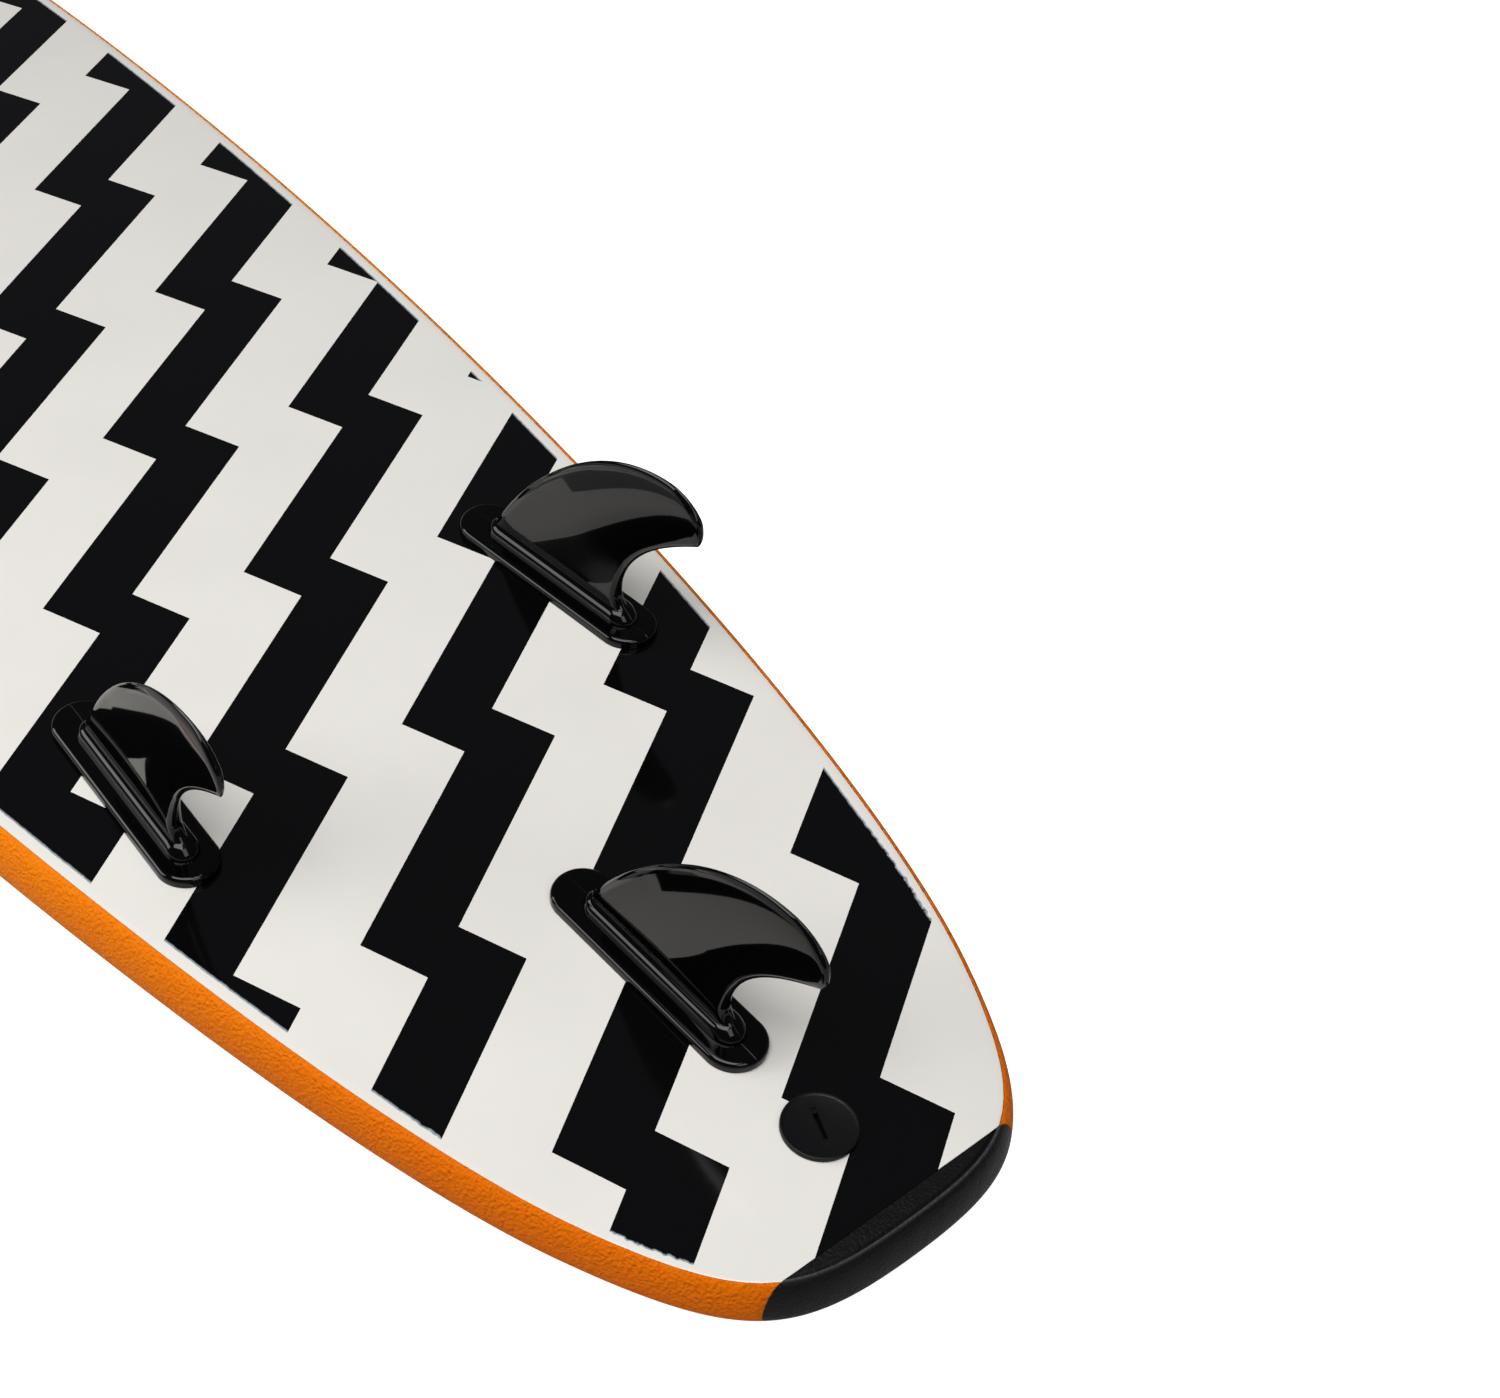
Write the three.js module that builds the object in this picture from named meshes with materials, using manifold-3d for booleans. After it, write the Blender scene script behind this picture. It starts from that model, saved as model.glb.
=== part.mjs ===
// An eight-foot soft-top surfboard, lying deck down with its three fins up.
// Millimetres, +Z up. X runs from the nose to the tail, Y across, and the two ends of the deck rest on Z = 0.
import * as THREE from 'three';
import { mergeVertices } from 'three/addons/utils/BufferGeometryUtils.js';
import Module from 'manifold-3d';

const wasm = await Module();
wasm.setup();

// ---- Driving dimensions ----
const LENGTH = 2438;                 // eight feet
const HALF = LENGTH / 2;
const HALF_WIDTH = 286;              // at the wide point
const THICKNESS = 86;                // at the middle
const GAP = 0.3;                     // left between neighbouring pieces
const SKIN = 5;                      // wrapped foam skin
const SLICK = 1.5;                   // hard plastic sheet on the bottom
const LINER = [1.8, 4.8];            // depths of the foam sheet under the slick
const SEAM_INSET = 38;               // deck seam, in from the outline
const TAIL_TONGUE = 63;              // half the width at which the deck skin runs on to the tail bumper
const NOSE_CUT = -1140;              // where the nose bumper starts
const TAIL_CUT = 1200;               // where the tail bumper starts
const STRINGER_Y = 62;
const STRINGER_WIDTH = 4;
const SIDE_FIN = { x: 747, y: 151, toe: THREE.MathUtils.degToRad(4.5) };
const CENTRE_FIN = { x: 1019.5, y: 0, toe: 0 };
const LEASH_X = 1146;
const POST_SPACING = 90;             // between the two posts of a fin
const POST_LENGTH = 26;
const INSERT_LENGTH = 14;            // threaded brass insert in a post's foot
const SLEEVE_TOP = -5.4;             // where the deck's sleeves and cup end, under the bottom sheet
const PLUG_RECESS = 0.7;             // face of a deck sleeve, in from the deck
const PLUG_FLANGE = 6.3;
const PLUG_WEB = 6;                  // web that a screw pulls on, in from the sleeve's face
const WASHER = 1.5;
const CUP_RECESS = 2.2;              // face of the leash cup, in from the deck
const CUP_FLANGE = 5;
const CLEAR = 20;                    // how far cutters run on past the board

// ---- Shape of the board ----
const SPINE_END = HALF - 90;         // the cross-sections fan around this point at each end
const DECK_POWER = 2.8;              // crown of the deck, as a superellipse

// Outline of one half, from the nose tip by the wide point and the tail corner to the tail's centre.
function halfOutline(perCurve) {
  const path = new THREE.Path();
  path.moveTo(-HALF, 0);
  path.bezierCurveTo(-HALF, 215, -700, HALF_WIDTH, -60, HALF_WIDTH);
  path.bezierCurveTo(430, HALF_WIDTH, 951, 213, 1112, 143);
  path.bezierCurveTo(1204, 103, HALF, 80, HALF, 0);
  return path.getPoints(perCurve);
}

const HALF_POINTS = halfOutline(10);
const OUTLINE = [
  ...HALF_POINTS,
  ...HALF_POINTS.slice(1, -1).reverse().map((p) => new THREE.Vector2(p.x, -p.y)),
];

// Height of the slick: flat in the middle, falling faster towards the nose than the tail.
function slickZ(x) {
  const cubic = x > 0 ? 7.727e-9 : 45e-9;
  return 104.569 - 0.02568 * x - 17.92e-6 * x * x - cubic * Math.abs(x) ** 3;
}

function slickSlope(x) {
  return (slickZ(x + 1) - slickZ(x - 1)) / 2;
}

function thickness(x) {
  return THICKNESS * (1 - 0.61 * Math.abs(x / HALF) ** 2.2);
}

// Depth of the rail's widest line below the slick, and how far in from it the slick's edge lies.
function railDepth(x) {
  return 13 + 0.15 * thickness(x);
}

function edgeInset(x) {
  return 0.38 * railDepth(x);
}

function outlineAt(x) {
  const k = HALF_POINTS.findIndex((p) => p.x >= x);
  const [a, b] = [HALF_POINTS[k - 1], HALF_POINTS[k]];
  return THREE.MathUtils.mapLinear(x, a.x, b.x, a.y, b.y);
}

// Depth of the deck below the slick at a place on the board.
function deckDepth(x, y) {
  const fullness = 1 - Math.abs(y / outlineAt(x)) ** DECK_POWER;
  return railDepth(x) + (thickness(x) - railDepth(x)) * fullness ** (1 / DECK_POWER);
}

// ---- Solids ----
// Makes a closed mesh into a solid. Vertices closer than `weld` become one, and the slivers between them go.
function toSolid(geometry, weld = 1e-4) {
  const bare = geometry.clone();
  bare.deleteAttribute('normal');
  bare.deleteAttribute('uv');
  const merged = mergeVertices(bare, weld);
  const index = merged.index.array;
  const corner = (i) => new THREE.Vector3().fromBufferAttribute(merged.attributes.position, i);
  const tris = [];
  let volume = 0;
  for (let i = 0; i < index.length; i += 3) {
    const [a, b, c] = index.slice(i, i + 3);
    if (a === b || b === c || c === a) continue;
    tris.push(a, b, c);
    volume += corner(a).dot(corner(b).cross(corner(c)));
  }
  if (volume < 0) tris.reverse();
  const vertProperties = Float32Array.from(merged.attributes.position.array);
  return new wasm.Manifold(new wasm.Mesh({ numProp: 3, vertProperties, triVerts: Uint32Array.from(tris) }));
}

function toGeometry(solid) {
  const mesh = solid.getMesh();
  const geometry = new THREE.BufferGeometry();
  geometry.setAttribute('position', new THREE.BufferAttribute(mesh.vertProperties, 3));
  geometry.setIndex(new THREE.BufferAttribute(mesh.triVerts, 1));
  return geometry;
}

// Joins rows of points, each a ring, into one surface. The first and last rows get flat caps if `capped`.
function skinRows(rows, capped) {
  const count = rows[0].length;
  const positions = rows.flat().flatMap((p) => p.toArray());
  const index = [];
  const quad = (a, b, c, d) => index.push(a, b, c, a, c, d);
  for (let r = 0; r + 1 < rows.length; r++) {
    for (let i = 0; i < count; i++) {
      const j = (i + 1) % count;
      quad(r * count + i, r * count + j, (r + 1) * count + j, (r + 1) * count + i);
    }
  }
  if (capped) {
    const last = (rows.length - 1) * count;
    for (let i = 1; i + 1 < count; i++) {
      index.push(0, i + 1, i, last, last + i, last + i + 1);
    }
  }
  const geometry = new THREE.BufferGeometry();
  geometry.setAttribute('position', new THREE.Float32BufferAttribute(positions, 3));
  geometry.setIndex(index);
  return geometry;
}

// Sweeps a section around the outline. The section lists [distance in from the outline, depth below the slick]
// from the bottom's spine round the rail to the deck's spine. It is given the outline point's place along the
// board, its distance to the spine, and `along`, which turns a distance in from the outline to a place along it.
function sweep(section) {
  const columns = OUTLINE.map((p) => {
    const spine = new THREE.Vector2(THREE.MathUtils.clamp(p.x, -SPINE_END, SPINE_END), 0);
    const reach = p.distanceTo(spine);
    const along = (inset) => THREE.MathUtils.lerp(p.x, spine.x, inset / reach);
    return section(p.x, reach, along).map(([inset, depth]) => {
      const at = p.clone().lerp(spine, inset / reach);
      return new THREE.Vector3(at.x, at.y, slickZ(at.x) - depth);
    });
  });
  const rows = columns[0].map((_, r) => columns.map((column) => column[r]));
  return toSolid(skinRows(rows, false));
}

const RAIL_STEPS = 3;                // facets from the slick's edge to the rail's widest line
const DECK_STEPS = 7;                // facets from there to the deck's spine

// The whole board, with every surface moved inwards by `inward`.
function hull(inward) {
  return sweep((x, reach, along) => {
    const edge = edgeInset(x);
    const rail = railDepth(x);
    const section = [[reach, inward]];
    for (let k = 0; k < RAIL_STEPS; k++) {
      const angle = (k / RAIL_STEPS) * (Math.PI / 2);
      section.push([edge - (edge - inward) * Math.sin(angle), rail - (rail - inward) * Math.cos(angle)]);
    }
    for (let k = 0; k <= DECK_STEPS; k++) {
      const angle = (k / DECK_STEPS) * (Math.PI / 2);
      const across = Math.max(Math.cos(angle), 0) ** (2 / DECK_POWER);
      const inset = reach - (reach - inward) * across;
      const deck = thickness(along(inset)) - rail - inward;
      section.push([inset, rail + deck * Math.sin(angle) ** (2 / DECK_POWER)]);
    }
    return section;
  });
}

// A sheet that follows the slick between two depths, its edge `inset` in from the slick's edge.
function sheet(inset, top, bottom) {
  return sweep((x, reach) => {
    const edge = edgeInset(x) + inset;
    return [[reach, top], [edge, top], [edge, bottom], [reach, bottom]];
  });
}

// An upright block with the board's outline drawn in by `inset`.
function outlineBlock(inset) {
  return sweep((x, reach) => [[reach, -30], [inset, -30], [inset, 150], [reach, 150]]);
}

function box(x0, x1, y0, y1, z0, z1) {
  const geometry = new THREE.BoxGeometry(x1 - x0, y1 - y0, z1 - z0);
  geometry.translate((x0 + x1) / 2, (y0 + y1) / 2, (z0 + z1) / 2);
  return toSolid(geometry);
}

// A slice of space between two places along the board, and one between two places across it.
const OUTSIDE = HALF_WIDTH + CLEAR;   // beyond the board's sides
const BEYOND = HALF + CLEAR;         // beyond its ends
const LOW = -50;
const HIGH = 250;
const alongBoard = (x0, x1) => box(x0, x1, -OUTSIDE, OUTSIDE, LOW, HIGH);
const acrossBoard = (y0, y1) => box(-BEYOND, BEYOND, y0, y1, LOW, HIGH);

// A turned solid about the local Z axis, from [radius, z] pairs that go up its outside.
// A profile that starts and ends off the axis is a ring, and is closed on itself.
function turned(profile, segments = 12) {
  const points = profile.map(([r, z]) => new THREE.Vector2(r, z));
  if (profile[0][0] > 0) points.push(points[0].clone());
  return toSolid(new THREE.LatheGeometry(points, segments).rotateX(Math.PI / 2));
}

const rod = (radius, z0, z1, segments = 12) => turned([[0, z0], [radius, z0], [radius, z1], [0, z1]], segments);

// A hole that leaves the gap all round a turned piece of that radius, whatever number of sides the piece has.
const bore = (radius, z0, z1, segments = 12) => rod((radius + GAP) / Math.cos(Math.PI / segments), z0, z1, segments);

// Frame on the slick: Z is its normal at (x, y), X points to the tail, turned by the toe-in angle.
function slickFrame({ x, y, toe }) {
  const tilt = new THREE.Matrix4().makeRotationY(-Math.atan(slickSlope(x)));
  const turn = new THREE.Matrix4().makeRotationZ(Math.sign(y) * toe);
  return new THREE.Matrix4().makeTranslation(x, y, slickZ(x)).multiply(tilt).multiply(turn);
}

const placed = (solid, matrix) => toSolid(toGeometry(solid).applyMatrix4(matrix));

// ---- Fins ----
// Side view of the blade in the fin's frame: X to the tail and Z up from the slick.
const BLADE_FOOT = 22;
const BLADE_TOP = 129;
const sideCurve = (...points) => new THREE.CubicBezierCurve(...points.map(([x, z]) => new THREE.Vector2(x, z)));
const LEADING_EDGE = sideCurve([-49, BLADE_FOOT], [-21, 71], [32, BLADE_TOP], [88, BLADE_TOP]);
const BLADE_TIP = sideCurve([88, BLADE_TOP], [106, BLADE_TOP], [122, 112], [113, 98]);
const TRAILING_EDGE = sideCurve([113, 98], [85, 81], [54, 58], [54, BLADE_FOOT]);

function backOfBlade(z) {
  const points = [...BLADE_TIP.getPoints(40), ...TRAILING_EDGE.getPoints(40).slice(1)];
  const k = Math.max(points.findIndex((p) => p.y <= z), 1);
  return THREE.MathUtils.mapLinear(z, points[k - 1].y, points[k].y, points[k - 1].x, points[k].x);
}

// One level of the fin: straight sides `half` off the centre line, with elliptical ends `front` and `back` long.
function finLevel([z, x0, x1, half, front, back]) {
  const ring = [];
  for (let k = 0; k <= 6; k++) {
    const angle = Math.PI / 2 - (k / 6) * Math.PI;
    ring.push(new THREE.Vector3(x1 - back + back * Math.cos(angle), half * Math.sin(angle), z));
  }
  for (let k = 0; k <= 6; k++) {
    const angle = -Math.PI / 2 - (k / 6) * Math.PI;
    ring.push(new THREE.Vector3(x0 + front + front * Math.cos(angle), half * Math.sin(angle), z));
  }
  return ring;
}

function finBody() {
  const levels = [
    [GAP, -80, 80, 18.5, 18.5, 18.5],
    [3, -80, 80, 18.5, 18.5, 18.5],
    [5.2, -79, 79, 17.5, 17.5, 17.5],
    [6, -77, 77, 15.5, 15.5, 15.5],
    [8.5, -62, 62, 7.5, 26, 26],
    [13, -58, 59, 6, 18, 16],
    [17, -53.5, 56, 5, 12, 8],
  ];
  const steps = 10;
  for (let k = 0; k < steps; k++) {
    const edge = LEADING_EDGE.getPoint(k / steps);
    const half = THREE.MathUtils.mapLinear(edge.y, BLADE_FOOT, BLADE_TOP, 4.4, 2.6);
    levels.push([edge.y, edge.x, backOfBlade(edge.y), half, 7, 1.5]);
  }
  levels.push([BLADE_TOP, 84, 91, 1.5, 3, 3]);
  const blade = toSolid(skinRows(levels.map(finLevel), true));
  const post = rod(7, -POST_LENGTH, 1.5);
  const socket = rod(4.8, -POST_LENGTH - 1, -POST_LENGTH + INSERT_LENGTH + GAP);
  return [-1, 1].reduce((body, side) => {
    const at = new THREE.Matrix4().makeTranslation((side * POST_SPACING) / 2, 0, 0);
    return body.add(placed(post, at)).subtract(placed(socket, at));
  }, blade);
}

// ---- Fin fastenings, each about the local Z axis with z = 0 at the slick and the deck at -depth ----
const threadedInsert = () => {
  const bottom = -POST_LENGTH;
  const top = bottom + INSERT_LENGTH;
  return turned([[3.3, bottom], [4.4, bottom], [4.4, top], [3.3, top]]);
};

// Flanged sleeve let into the deck. The post slides into its top and the screw's head sits in its bottom.
function deckPlug(depth) {
  const face = -depth + PLUG_RECESS;
  const flange = face + PLUG_FLANGE;
  const web = face + PLUG_WEB;
  return turned([
    [8, face], [15, face], [15, flange], [9.5, flange], [9.5, SLEEVE_TOP], [7.4, SLEEVE_TOP],
    [7.4, web + 4], [3.4, web + 4], [3.4, web], [8, web],
  ]);
}

function washer(depth) {
  const web = -depth + PLUG_RECESS + PLUG_WEB;
  return turned([[3.2, web - WASHER], [7, web - WASHER], [7, web - GAP], [3.2, web - GAP]]);
}

// Slotted screw, which reaches up through the washer and the plug into the post's insert.
function finScrew(depth) {
  const head = -depth + PLUG_RECESS + PLUG_WEB - WASHER - GAP;
  const tip = -POST_LENGTH + INSERT_LENGTH - 1.2;
  const body = turned([
    [0, head - 3.4], [5.6, head - 3.4], [6.6, head - 2.4], [6.6, head], [3, head], [3, tip], [0, tip],
  ]);
  return body.subtract(box(-8, 8, -0.8, 0.8, head - 4, head - 2));
}

// What the plug, its flange and the post take out of the board's layers.
function plugRoom(depth) {
  const low = -depth - CLEAR;
  const flange = -depth + PLUG_RECESS + PLUG_FLANGE + GAP;
  return bore(7, low, CLEAR).add(bore(9.5, low, SLEEVE_TOP + GAP)).add(bore(15, low, flange, 16));
}

// ---- Leash plug ----
const LEASH_DEPTH = thickness(LEASH_X);
const LEASH_FACE = CUP_RECESS - LEASH_DEPTH;
const BAR_Z = LEASH_FACE + 11;
const SLOT_ANGLE = THREE.MathUtils.degToRad(-23);

const leashBar = (radius, half) => {
  const up = new THREE.Matrix4().makeTranslation(0, 0, BAR_Z);
  return placed(rod(radius, -half, half), up.multiply(new THREE.Matrix4().makeRotationX(Math.PI / 2)));
};

// Cup open to the deck for the leash string, with a socket in its top for the cap's boss.
function leashCup() {
  const cup = turned([
    [13, LEASH_FACE], [20, LEASH_FACE], [20, LEASH_FACE + CUP_FLANGE], [16.5, LEASH_FACE + CUP_FLANGE],
    [16.5, SLEEVE_TOP], [9.4, SLEEVE_TOP], [9.4, -15.5], [0, -15.5], [0, -19], [13, -19],
  ], 20);
  return cup.subtract(leashBar(2.8, 20));
}

// Disc with a raised rim and a coin slot, which goes deeper into the boss that screws into the cup.
function leashCap() {
  const disc = turned([
    [0, -15], [9, -15], [9, 1.6], [17, 1.6], [17, GAP], [20.5, GAP], [20.5, 2.8], [20, 3.3], [18.6, 3.3],
    [18, 2.8], [0, 2.8],
  ], 24);
  const slot = box(-11, 11, -1.5, 1.5, 2, 4).add(box(-8, 8, -1.5, 1.5, -3, 4));
  return disc.subtract(placed(slot, new THREE.Matrix4().makeRotationZ(SLOT_ANGLE)));
}

const leashGasket = () => turned([[9.4, GAP], [16.6, GAP], [16.6, 1.3], [9.4, 1.3]], 20);

const leashRoom = () => {
  const low = -LEASH_DEPTH - CLEAR;
  const flange = bore(20, low, LEASH_FACE + CUP_FLANGE + GAP, 20);
  return bore(9, -LEASH_DEPTH, CLEAR).add(bore(16.5, low, SLEEVE_TOP + GAP, 20)).add(flange);
};

// ---- Materials ----
const material = (color, roughness, metalness = 0) => new THREE.MeshStandardMaterial({ color, roughness, metalness });
const MATERIALS = {
  slick: material(0xe9e6df, 0.35),
  foamSkin: material(0xe87408, 0.7),
  liner: material(0xd9d6cc, 0.9),
  eps: material(0xf4f4f0, 0.95),
  wood: material(0xb98a56, 0.75),
  bumper: material(0x1b1b1c, 0.85),
  blackPlastic: material(0x101011, 0.25),
  mattPlastic: material(0x1a1a1b, 0.6),
  rubber: material(0x222223, 0.9),
  brass: material(0xb8933f, 0.35, 1),
  steel: material(0xb9bcc0, 0.3, 1),
};

const surfboard = new THREE.Group();
surfboard.name = 'surfboard';

function addPart(name, solid, look) {
  const mesh = new THREE.Mesh(toGeometry(toSolid(toGeometry(solid), 0.01)), MATERIALS[look]);
  mesh.name = name;
  surfboard.add(mesh);
}

// ---- Fins and their fastenings ----
const FINS = {
  left: { ...SIDE_FIN, y: -SIDE_FIN.y },
  centre: CENTRE_FIN,
  right: SIDE_FIN,
};
const cutters = [];

for (const [side, place] of Object.entries(FINS)) {
  const frame = slickFrame(place);
  addPart(`fin_${side}`, placed(finBody(), frame), 'blackPlastic');
  for (const [end, along] of Object.entries({ front: -POST_SPACING / 2, rear: POST_SPACING / 2 })) {
    const post = frame.clone().multiply(new THREE.Matrix4().makeTranslation(along, 0, 0));
    const at = new THREE.Vector3().setFromMatrixPosition(post);
    const depth = deckDepth(at.x, at.y);
    const name = `${side}_${end}`;
    addPart(`post_insert_${name}`, placed(threadedInsert(), post), 'brass');
    addPart(`deck_plug_${name}`, placed(deckPlug(depth), post), 'mattPlastic');
    addPart(`fin_washer_${name}`, placed(washer(depth), post), 'steel');
    addPart(`fin_screw_${name}`, placed(finScrew(depth), post), 'steel');
    cutters.push(placed(plugRoom(depth), post));
  }
}

// ---- Leash plug in place ----
const leashFrame = slickFrame({ x: LEASH_X, y: 0, toe: 0 });
addPart('leash_cup', placed(leashCup(), leashFrame), 'mattPlastic');
addPart('leash_bar', placed(leashBar(2.5, 16), leashFrame), 'steel');
addPart('leash_gasket', placed(leashGasket(), leashFrame), 'rubber');
addPart('leash_cap', placed(leashCap(), leashFrame), 'mattPlastic');
cutters.push(placed(leashRoom(), leashFrame));

// ---- Board layers ----
const middle = alongBoard(NOSE_CUT + GAP / 2, TAIL_CUT - GAP / 2);
const holes = cutters.reduce((all, cutter) => all.add(cutter));
const layer = (solid) => solid.intersect(middle).subtract(holes);

const outer = hull(0);
const shell = outer.subtract(hull(SKIN));
const slickRoom = sheet(-GAP, -30, LINER[0]);
const linerRoom = sheet(3 - GAP, -30, SKIN + GAP);
const wrap = layer(shell.subtract(slickRoom).subtract(linerRoom));
const deckArea = (spread) => outlineBlock(SEAM_INSET - spread)
  .add(box(SPINE_END - 17, HALF, -TAIL_TONGUE - spread, TAIL_TONGUE + spread, LOW, HIGH));
const rails = wrap.subtract(deckArea(GAP));

addPart('bottom_slick', layer(sheet(0, 0, SLICK)), 'slick');
addPart('bottom_liner', layer(sheet(3, LINER[0], LINER[1])), 'liner');
addPart('deck_skin', wrap.intersect(deckArea(0)), 'foamSkin');
addPart('rail_skin_left', rails.intersect(acrossBoard(-OUTSIDE, 0)), 'foamSkin');
addPart('rail_skin_right', rails.intersect(acrossBoard(0, OUTSIDE)), 'foamSkin');
addPart('nose_bumper', shell.intersect(alongBoard(-BEYOND, NOSE_CUT - GAP / 2)), 'bumper');
addPart('tail_bumper', outer.intersect(alongBoard(TAIL_CUT + GAP / 2, BEYOND)), 'bumper');

// Core of foam blocks, glued up with a wooden stringer in each joint.
const blank = hull(SKIN + GAP).intersect(alongBoard(-HALF, TAIL_CUT - GAP)).subtract(holes);
const inner = STRINGER_Y - STRINGER_WIDTH / 2;
const outward = STRINGER_Y + STRINGER_WIDTH / 2;
addPart('core_left', blank.intersect(acrossBoard(-OUTSIDE, -outward - GAP)), 'eps');
addPart('core_centre', blank.intersect(acrossBoard(-inner + GAP, inner - GAP)), 'eps');
addPart('core_right', blank.intersect(acrossBoard(outward + GAP, OUTSIDE)), 'eps');
addPart('stringer_left', blank.intersect(acrossBoard(-outward, -inner)), 'wood');
addPart('stringer_right', blank.intersect(acrossBoard(inner, outward)), 'wood');

export default surfboard;
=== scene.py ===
"""An eight-foot soft-top surfboard, lying deck down with its three fins up, dressed around its CAD frame."""
import math

import bmesh
import bpy
import numpy as np
from mathutils import Matrix, Vector


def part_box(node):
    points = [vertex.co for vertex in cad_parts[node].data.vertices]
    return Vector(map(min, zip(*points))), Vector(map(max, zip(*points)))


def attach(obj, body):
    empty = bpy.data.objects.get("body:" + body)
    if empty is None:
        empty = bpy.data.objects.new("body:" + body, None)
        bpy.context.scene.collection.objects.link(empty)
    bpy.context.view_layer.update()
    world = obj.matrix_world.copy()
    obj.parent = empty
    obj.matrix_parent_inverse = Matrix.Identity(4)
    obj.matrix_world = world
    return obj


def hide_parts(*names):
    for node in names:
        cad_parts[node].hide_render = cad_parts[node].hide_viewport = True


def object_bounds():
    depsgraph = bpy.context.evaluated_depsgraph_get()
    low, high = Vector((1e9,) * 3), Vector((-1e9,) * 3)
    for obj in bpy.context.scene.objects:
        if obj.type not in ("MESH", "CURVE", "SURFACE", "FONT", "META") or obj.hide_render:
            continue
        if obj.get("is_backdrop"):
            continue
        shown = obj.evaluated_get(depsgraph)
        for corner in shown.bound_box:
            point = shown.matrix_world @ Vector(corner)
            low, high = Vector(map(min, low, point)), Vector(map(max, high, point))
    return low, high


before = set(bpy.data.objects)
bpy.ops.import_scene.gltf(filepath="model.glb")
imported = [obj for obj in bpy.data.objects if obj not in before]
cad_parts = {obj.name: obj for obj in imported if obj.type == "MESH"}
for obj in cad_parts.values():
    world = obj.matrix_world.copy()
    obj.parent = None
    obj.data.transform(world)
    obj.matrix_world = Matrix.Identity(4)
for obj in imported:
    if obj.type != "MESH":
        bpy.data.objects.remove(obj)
cad_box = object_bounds()


# ---- Camera -------------------------------------------------------------------------------------
# A long lens looks down on the tail from behind the leash plug, on the side of the near rail.
# The view is shifted a little, so the tail sits left of the middle of the picture.
CAMERA_FROM_CAP = (0.5515, -0.5935, 0.9977)   # metres from the leash cap's centre
AZIMUTH, ELEVATION, ROLL = 50.96, 42.92, -0.42

cap_low, cap_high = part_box("leash_cap")
cap_centre = Vector(((cap_low[0] + cap_high[0]) / 2, 0, cap_high[2] - 0.0049))

lens = bpy.data.cameras.new("studio_camera")
lens.sensor_width = 36
lens.lens = 60.3
lens.shift_x = 0.1057
lens.shift_y = 0.0436
lens.clip_end = 50
camera = bpy.data.objects.new("studio_camera", lens)
camera.matrix_world = (
    Matrix.Translation(cap_centre + Vector(CAMERA_FROM_CAP))
    @ Matrix.Rotation(math.radians(AZIMUTH), 4, "Z")
    @ Matrix.Rotation(math.radians(90 - ELEVATION), 4, "X")
    @ Matrix.Rotation(math.radians(ROLL), 4, "Z")
)
bpy.context.scene.collection.objects.link(camera)
bpy.context.scene.camera = camera


# ---- Studio -------------------------------------------------------------------------------------
# A white floor and a white backdrop that only the camera sees glowing, under softboxes. To everything
# else the room is dark, so black gloss stays black except where it mirrors a box, the print or the floor.
def linear(hex_colour, alpha=1.0):
    """Turns an sRGB hex colour into linear RGBA, by the sRGB curve."""
    srgb = np.array([int(hex_colour[k:k + 2], 16) for k in (1, 3, 5)]) / 255
    rgb = np.where(srgb <= 0.04045, srgb / 12.92, ((srgb + 0.055) / 1.055) ** 2.4)
    return (*rgb, alpha)


def add_node(tree, kind, inputs=None, **settings):
    """Adds a node with its settings; inputs holds socket values, or the outputs that feed them."""
    node = tree.nodes.new(kind)
    for name, value in settings.items():
        setattr(node, name, value)
    for socket, value in (inputs or {}).items():
        if isinstance(value, bpy.types.NodeSocket):
            tree.links.new(value, node.inputs[socket])
        else:
            node.inputs[socket].default_value = value
    return node


def new_material(name):
    """Makes an empty node material and returns it with its tree and its Principled shader."""
    material = bpy.data.materials.new(name)
    material.use_nodes = True
    tree = material.node_tree
    return material, tree, tree.nodes["Principled BSDF"]


scene = bpy.context.scene
scene.view_settings.view_transform = "Standard"
scene.world = bpy.data.worlds.new("dark_studio")
scene.world.use_nodes = True
backdrop = scene.world.node_tree.nodes["Background"]
backdrop.inputs["Color"].default_value = (0.30, 0.31, 0.33, 1)
seen = add_node(scene.world.node_tree, "ShaderNodeLightPath").outputs["Is Camera Ray"]
strength = add_node(scene.world.node_tree, "ShaderNodeMath", {0: seen, 1: 3.2, 2: 0.25},
                    operation="MULTIPLY_ADD")
scene.world.node_tree.links.new(strength.outputs[0], backdrop.inputs["Strength"])

FLOOR_HALF = 7.0                  # metres from its middle to its sides
floor_mesh = bpy.data.meshes.new("floor")
floor_corners = [(FLOOR_HALF * a, FLOOR_HALF * b, 0) for a, b in ((-1, -1), (1, -1), (1, 1), (-1, 1))]
floor_mesh.from_pydata(floor_corners, [], [(0, 1, 2, 3)])
floor = bpy.data.objects.new("floor", floor_mesh)
scene.collection.objects.link(floor)
floor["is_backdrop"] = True
floor_paint, tree, shader = new_material("white_studio_floor")
shader.inputs["Roughness"].default_value = 0.9
shader.inputs["Base Color"].default_value = linear("#c4c4c4")
shader.inputs["Emission Color"].default_value = (1, 1, 1, 1)
seen = add_node(tree, "ShaderNodeLightPath").outputs["Is Camera Ray"]
glow = add_node(tree, "ShaderNodeMath", {0: seen, 1: 0.95}, operation="MULTIPLY").outputs[0]
tree.links.new(glow, shader.inputs["Emission Strength"])
shader.inputs["Specular IOR Level"].default_value = 0.1
floor_mesh.materials.append(floor_paint)

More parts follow.
